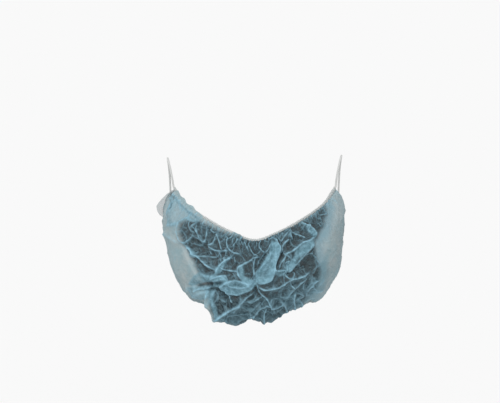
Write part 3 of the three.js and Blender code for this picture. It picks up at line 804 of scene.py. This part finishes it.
# The strip of cloth as a grid: columns across from the left end to the right, rows down from rim to hem
class Cloth:
    def __init__(self):
        flap = pouch["flapColumns"]
        self.shape = (pouch["columns"] + flap, pouch["rows"])
        even = np.linspace(-1, 1, pouch["columns"])
        uneven = even * (pouch["frontShare"] + (1 - pouch["frontShare"]) * even**2)
        self.across = np.concatenate([np.full(flap, -1.0), uneven])
        self.beyond = np.concatenate([np.linspace(1, 1 / flap, flap), np.zeros(pouch["columns"])])
        stations = sectionsAt(self.across)
        steps = np.linspace(0, 1, pouch["lengthSteps"])
        self.length = np.array([stepsOf(smoothCurve(p, steps)).sum() for p in stations])
        again = pouch["againShare"] * self.stretch("againFrom", "againTo")
        self.turned = np.maximum(self.stretch("turnedFrom", "turnedTo"), again)
        waves, uneven = pouch["turnWaves"]
        turn = pouch["turnOver"] * self.turned * (1 - uneven + uneven * np.sin(waves * self.across))
        turn = turn - pouch["sewnAt"] * (1 - self.turned)
        spread = np.linspace(0, 1, pouch["rows"])[None, :]
        spread = spread * (pouch["rimShare"] + (1 - pouch["rimShare"]) * spread)
        self.v = -turn[:, None] + (self.length - pouch["sewnAt"] + turn)[:, None] * spread
        self.place = np.stack([along(p, d) for p, d in zip(stations, self.v)])
        self.down = self.v / self.length[:, None]
        self.u = np.broadcast_to(self.across[:, None] * pouch["halfArc"], self.shape)
        self.u = self.u - self.beyond[:, None] * pouch["flapReach"]
        wide = np.gradient(self.place[flap:], axis=0)
        wide = np.concatenate([np.repeat(wide[:1], flap, axis=0), wide])
        self.wide = unit(wide)
        self.deep = unit(np.gradient(self.place, axis=1))
        self.out = unit(np.cross(self.deep, self.wide))
        self.rise = np.zeros(self.shape)
        self.shift = np.zeros((*self.shape, 2))
        names = ("crease", "layers", "side", "shade", "border", "paintedHollowShade", "flapPaintedLight")
        self.looks = {name: np.zeros(self.shape) for name in names}

    # 1 on a stretch of the upper edge, 0 beside it
    def stretch(self, start, end):
        return smooth(*pouch[start], self.across) * (1 - smooth(*pouch[end], self.across))

    def lengthAt(self, across):
        flap = pouch["flapColumns"]
        return float(np.interp(across, self.across[flap:], self.length[flap:]))

    # Grid points near a path: their index, distance from it, share along it and its direction there
    def nearPath(self, path, reach):
        path = np.asarray(path, float)
        low, high = path.min(0) - reach, path.max(0) + reach
        near = (self.u > low[0]) & (self.u < high[0]) & (self.v > low[1]) & (self.v < high[1])
        index = np.nonzero(near)
        point = np.stack([self.u[index], self.v[index]], 1)
        best = np.full(len(point), 1e9)
        share = np.zeros(len(point))
        way = np.zeros((len(point), 2))
        total = runOf(path)
        for k in range(len(path) - 1):
            step = path[k + 1] - path[k]
            size = max(np.linalg.norm(step), 1e-9)
            ahead = step / size
            rel = point - path[k]
            on = np.clip(rel @ ahead, 0, size)
            gap = np.linalg.norm(rel - on[:, None] * ahead, axis=1)
            closer = gap < best
            best[closer] = gap[closer]
            share[closer] = ((total[k] + on) / total[-1])[closer]
            way[closer] = ahead
        return index, best, share, way

    # A fold with a sharp crest along a path on the strip, leaning to one side. Lengths in metres. Its
    # pressed line is drawn paler on the crest, partly as a painted highlight, and a line pressed below 0 is
    # painted shade.
    def fold(self, path, kind, tapers):
        shape = foldShape
        steps = np.linspace(0, 1, shape["samples"] * len(path))
        curve = smoothCurve([(x, y, 0) for x, y in path], steps)[:, :2]
        index, gap, share, way = self.nearPath(curve, shape["reach"] * kind["width"])
        fadeIn = smooth(-shape["endOver"], tapers[0], share)
        taper = fadeIn * (1 - smooth(1 - tapers[1], 1 + shape["endOver"], share))
        self.rise[index] += kind["rise"] * np.clip(1 - gap / kind["width"], 0, 1) ** shape["steep"] * taper
        lie = kind["lean"] * np.exp(-((gap / (shape["leanSpread"] * kind["width"])) ** 2)) * taper
        self.shift[index] += np.stack([-way[:, 1] * lie, way[:, 0] * lie], 1)
        (often, start), (oftenDown, startDown) = shape["waves"]
        waves = np.sin(often * self.u[index] + start) * np.sin(oftenDown * self.v[index] + startDown)
        uneven = 1 - shape["uneven"] + shape["uneven"] * waves
        line = abs(kind["pressed"]) * taper**0.5 * uneven * np.exp(-((gap / (kind["line"] * uneven)) ** 2))
        # Lines pressed above 0 go to the paler crest colour; lines pressed below 0 go to the painted shade
        # of slits
        look = self.looks["crease" if kind["pressed"] > 0 else "shade"]
        look[index] = np.maximum(look[index], line)

    def addSwells(self):
        for across, down, rise, width in swells.values():
            path = [(a * pouch["halfArc"], d * self.lengthAt(a)) for a, d in zip(across, down)]
            width = width / 1000
            index, gap, *_ = self.nearPath(path, foldShape["swellReach"] * width)
            self.rise[index] += rise / 1000 * np.exp(-math.log(2) * 4 * (gap / width) ** 2)
        self.rise *= smooth(0, pouch["heldOver"], self.length[:, None] - self.v)

    # Which pixel of the photo each point lies behind, before the creases move it
    def lookThrough(self):
        surface = self.place + self.out * self.rise[..., None]
        self.x, self.y, sight = inPhoto(surface)
        self.faces = (self.out * sight).sum(2) > layered["grazing"] * np.linalg.norm(sight, axis=2)
        self.seen = np.stack([self.x[self.faces], self.y[self.faces]], 1)
        self.seenPlace = np.stack([self.u[self.faces], self.v[self.faces]], 1)

    # Place on the strip behind a pixel of the photo
    def behind(self, x, y):
        away = ((self.seen - (x, y)) ** 2).sum(1)
        near = np.argpartition(away, layered["nearest"])[:layered["nearest"]]
        weight = 1 / (away[near] + layered["blur"])
        return tuple((self.seenPlace[near] * weight[:, None]).sum(0) / weight.sum())

    def addCreases(self):
        for name, *route in creases.values():
            kind = dict(kinds[name])
            for length in ("rise", "width", "line", "lean"):
                kind[length] = kind[length] / 1000
            self.fold([self.behind(x, y) for x, y in route], kind, foldShape["tapers"])

    # Small pleats that start at an elastic and run out into the cloth, each of its own length and slant
    def addPleats(self):
        draw = random.Random(pleats["seed"])
        for atHem in (False, True):
            last = pleats["within"] * pouch["halfArc"]
            place = -last
            while place < last:
                place += draw.uniform(*pleats["spacing"])
                reach = draw.uniform(*pleats["hemLength" if atHem else "length"])
                drift = draw.uniform(-1, 1) * pleats["slant"] * reach
                bend = draw.uniform(-pleats["bend"], pleats["bend"]) * reach
                total = self.lengthAt(place / pouch["halfArc"])
                path = [(place, 0), (place + 0.5 * drift + bend, 0.5 * reach), (place + drift, reach)]
                if atHem:
                    path = [(x, total - y) for x, y in path]
                kind = {name: draw.uniform(*pleats[name]) / 1000 for name in ("rise", "width", "line")}
                kind["pressed"] = draw.uniform(*pleats["pressed"])
                kind["lean"] = draw.uniform(-1, 1) / 1000
                self.fold(path, kind, pleats["tapers"])

    # Cloth that lies double, and the pale sides
    def addPatches(self):
        for most, *outline in patches.values():
            inside = insideOutline(outline, self.x, self.y)
            share = most * smooth(-layered["soft"], layered["soft"], inside) * self.faces
            share = share * (1 - layered["inner"] * smooth(layered["soft"], layered["edge"], inside))
            self.looks["layers"] = np.maximum(self.looks["layers"], share)
        self.rise += layered["rise"] * self.looks["layers"]
        inside = insideOutline(frontOutline, self.x, self.y)
        pale = 1 - smooth(-layered["frontSoft"], layered["frontSoft"], inside)
        self.looks["side"] = np.where(self.faces, pale, layered["hidden"])
        # Painted light: the loose flap takes the pale side colour and is made more see-through, so it does
        # not look as shaded as it lies beside the pouch
        self.looks["side"][self.beyond > 0] = 1
        self.looks["flapPaintedLight"][self.beyond > 0] = 1
        rightSide = self.faces * (self.x > camera["width"] / 2)
        self.looks["border"] = smooth(-layered["border"], -layered["frontSoft"], inside) * rightSide

    def scatter(self, cell, seed):
        draw = random.Random(seed)
        points = []
        x = self.u.min() - cell
        while x < self.u.max() + cell:
            y = self.v.min() - cell
            while y < self.v.max() + cell:
                side = draw.uniform(-0.5, 0.5) * cell
                points.append(Vector((x + side, y + draw.uniform(-0.5, 0.5) * cell)))
                y += cell
            x += cell
        return points, draw

    # Height of flat facets between random points, as crushed paper has
    def facets(self, cell, rise, seed):
        points, draw = self.scatter(cell, seed)
        made = delaunay_2d_cdt(points, [], [], 0, 1e-7)
        corners = [Vector((p.x, p.y, draw.uniform(-1, 1) * rise)) for p in made[0]]
        tree = BVHTree.FromPolygons(corners, made[2])
        heights = np.zeros(self.shape)
        down = Vector((0, 0, -1))
        for index in np.ndindex(self.shape):
            hit = tree.ray_cast(Vector((self.u[index], self.v[index], 1.0)), down)[0]
            heights[index] = hit.z if hit else 0.0
        return heights

    # Crests where two cells of random points meet: 1 on the line, 0 away from it; some are left out
    def network(self, cell, seed):
        points, draw = self.scatter(cell, seed)
        tree = KDTree(len(points))
        for k, point in enumerate(points):
            tree.insert((point.x, point.y, 0), k)
        tree.balance()
        key = [draw.uniform(0, 1) for _ in points]
        wave = netting["wave"] * cell
        crest = np.zeros(self.shape)
        for index in np.ndindex(self.shape):
            u, v = self.u[index], self.v[index]
            bentU = u + wave * math.sin(v / cell * netting["along"] + u / cell)
            bentV = v + wave * math.sin(u / cell * netting["across"])
            near = tree.find_n((bentU, bentV, 0), 2)
            away = (near[1][2] - near[0][2]) / cell
            keep = (key[near[0][1]] + key[near[1][1]]) % 1.0
            kept = max(0.0, min(1.0, netting["kept"] * keep - netting["least"]))
            crest[index] = max(0.0, 1 - away * netting["sharp"]) ** netting["power"] * kept
        return crest

    def addCrumple(self):
        share = 1 - (1 - crumple["sideShare"]) * self.looks["side"]
        share = share * (1 - (1 - crumple["patchShare"]) * self.looks["layers"])
        atRim = smooth(0, crumple["rimFade"], self.v)
        share = share * atRim * smooth(0, crumple["hemFade"], self.length[:, None] - self.v)
        big = self.network(crumple["ridgeCell"], crumple["seed"] + 2)
        fine = self.network(crumple["fineCell"], crumple["seed"] + 3)
        facets = self.facets(crumple["cell"], crumple["rise"], crumple["seed"])
        self.rise += share * (facets + crumple["ridge"] * big + crumple["fineRidge"] * fine)
        sharp = crumple["lineSharp"]
        # Crumple crests are drawn paler, partly as a painted highlight
        line = np.maximum(big**sharp, crumple["fineLine"] * fine**sharp) * crumple["pressed"] * share
        self.looks["crease"] = np.maximum(self.looks["crease"], line)

    # How far the cloth stands above its own mean round each point: 0 in a hollow, 1 on a crest. It sets the
    # painted shade in hollows.
    def findPaintedHollowShade(self):
        mean = self.rise
        for axis, reach in enumerate(layered["meanOf"]):
            edge = [(reach, reach) if k == axis else (0, 0) for k in range(2)]
            wide = np.pad(mean, edge, mode="edge")
            size = mean.shape[axis]
            shifted = [wide.take(range(k, k + size), axis=axis) for k in range(2 * reach + 1)]
            mean = sum(shifted) / len(shifted)
        paintedHollowShade = layered["proudFrom"] + (self.rise - mean) / layered["proudBy"]
        self.looks["paintedHollowShade"] = np.clip(paintedHollowShade, 0, 1) ** layered["proudPower"]

    def points(self):
        out = self.place + self.out * self.rise[..., None]
        out = out + self.wide * self.shift[..., :1] + self.deep * self.shift[..., 1:]
        over = (1 - smooth(*pouch["overFrom"], self.v)) * self.turned[:, None]
        out = out + self.out * pouch["overElastic"] * over[..., None]
        corner, end, least = pouch["flapCorner"], pouch["flapEnd"], pouch["flapLeast"]
        window = np.minimum(least + (1 - least) * self.down / corner, (end - self.down) / (end - corner))
        reach = pouch["flapReach"] * self.beyond[:, None] * np.maximum(window, 0)
        return out + reach[..., None] * np.array(pouch["flapWay"])


def makePouch():
    cloth = Cloth()
    cloth.addSwells()
    cloth.lookThrough()
    cloth.addPatches()
    cloth.addCreases()
    cloth.addPleats()
    cloth.addCrumple()
    cloth.findPaintedHollowShade()
    mesh, order = gridMesh("gathered_pouch", cloth.points(), np.stack([cloth.u, cloth.v], -1), "flat")
    ob = newObject("gathered_pouch", mesh)
    for name, values in cloth.looks.items():
        attribute = mesh.attributes.new(name, "FLOAT", "POINT")
        attribute.data.foreach_set("value", np.array([values[place] for place in order], np.float32))
    mesh.materials.append(makeNonwoven(list(cloth.looks)))
    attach(ob, "root")
    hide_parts("net_pouch")
    print("pouch area", round(sum(p.area for p in mesh.polygons), 4), "m2,", len(mesh.polygons), "faces")


makePouch()
print("pouch made")

# Sewn elastics along both edges, each with the overlock thread that holds it to the cloth
rim = {
    "height": 0.0021,
    "cornerHeight": 0.0031,
    "cornerFrom": 0.78,
    "cornerTo": 0.94,
    "thick": 0.0013,
    "steps": 300,
    "sides": 12,
    "stitch": 0.0019,
    "thread": 0.0005,
    "threadSides": 5,
    "wander": 0.00025,
    "stitchUp": 0.62,
    "stitchDown": -0.75,
    "stitchUneven": 0.1,
    "stitchOut": 0.3,
    "threadOut": 0.4,
    "roundness": 0.8,
}


# Along an edge of the smooth form: places, and the directions out of the cloth and up off its edge
def edgeFrames(level, across):
    stations = sectionsAt(across)
    ends = (0, 1) if level == "rim" else (-1, -2)
    centre = stations[:, ends[0]]
    inward = stations[:, ends[1]] - centre
    way = np.gradient(centre, axis=0)
    out = unit(np.cross(inward, way) if level == "rim" else np.cross(way, inward))
    high = unit(np.cross(way, out))
    high *= -np.sign((high * inward).sum(1, keepdims=True))
    return centre, out, high


def makeRim(name, node, level, seed):
    across = np.linspace(-1, 1, rim["steps"] + 1)
    centre, out, high = edgeFrames(level, across)
    corner = smooth(rim["cornerFrom"], rim["cornerTo"], np.abs(across))
    height = rim["height"] + (rim["cornerHeight"] - rim["height"]) * corner
    turn = np.linspace(0, 2 * math.pi, rim["sides"] + 1)[:, None, None]
    rounded = [np.sign(wave) * np.abs(wave) ** rim["roundness"] for wave in (np.sin(turn), np.cos(turn))]
    points = centre + high * rounded[0] * height[:, None] / 2 + out * rounded[1] * rim["thick"] / 2
    band = gridMesh(name + "_band", points, rolledUv(centre, rim["sides"]), "UVMap", rolled=True)[0]

    draw = random.Random(seed)
    length = runOf(centre)
    count = int(length[-1] / rim["stitch"] * 2)
    thread = []
    for k in range(count + 1):
        at = k * length[-1] / count + draw.uniform(-1, 1) * rim["wander"]
        here, outward, upward = (np.array([np.interp(at, length, part[:, axis]) for axis in range(3)])
                                 for part in (centre, out, high))
        tall = float(np.interp(at, length, height))
        end = rim["stitchUp"] if k % 2 == 0 else rim["stitchDown"]
        end = end + draw.uniform(-rim["stitchUneven"], rim["stitchUneven"])
        thread.append(here + upward * tall * end + outward * rim["stitchOut"] * rim["thick"])
        thread.append(here + outward * (0.5 * rim["thick"] + rim["threadOut"] * rim["thread"]))
    stitches = tubeMesh(name + "_thread", thread, rim["thread"] / 2, rim["threadSides"])

    bm = bmesh.new()
    bm.from_mesh(band)
    bm.from_mesh(stitches)
    mesh = bpy.data.meshes.new(name)
    bm.to_mesh(mesh)
    bm.free()
    ob = newObject(name, mesh)
    mesh.materials.append(elasticMaterial)
    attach(ob, "root")
    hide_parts(node)


makeRim("upper_elastic", "upper_rim_elastic", "rim", 21)
makeRim("lower_elastic", "lower_rim_elastic", "hem", 22)
print("elastics made")

# Plain pale floor, soft studio light
studio = {
    "floorDrop": 0.3,
    "floorRadius": 1500.0,
    "floorSides": 96,
    "floorTone": 0.9,
    "sky": 0.5,
    "sun": 2.3,
    "sunSpread": 14.0,
    "sunWay": (0.2, 0.8, -0.95),
}


def makeStudio():
    bm = bmesh.new()
    bmesh.ops.create_circle(bm, cap_ends=True, segments=studio["floorSides"], radius=studio["floorRadius"])
    bmesh.ops.translate(bm, verts=bm.verts, vec=(0, 0, -studio["floorDrop"]))
    mesh = bpy.data.meshes.new("floor")
    bm.to_mesh(mesh)
    bm.free()
    floor = newObject("floor", mesh)
    material, tree = newMaterial("floorPaint")
    shader = addNode(tree, "BsdfDiffuse", {"Color": (*([studio["floorTone"]] * 3), 1)})
    finishMaterial(tree, shader.outputs[0])
    mesh.materials.append(material)
    world = bpy.data.worlds.new("studio")
    world.use_nodes = True
    background = world.node_tree.nodes["Background"]
    background.inputs["Color"].default_value = (1, 1, 1, 1)
    background.inputs["Strength"].default_value = studio["sky"]
    scene.world = world
    data = bpy.data.lights.new("key", "SUN")
    data.energy = studio["sun"]
    data.angle = math.radians(studio["sunSpread"])
    ob = bpy.data.objects.new("key", data)
    ob.rotation_euler = Vector(studio["sunWay"]).to_track_quat("-Z", "Y").to_euler()
    scene.collection.objects.link(ob)


makeStudio()
print("studio made")
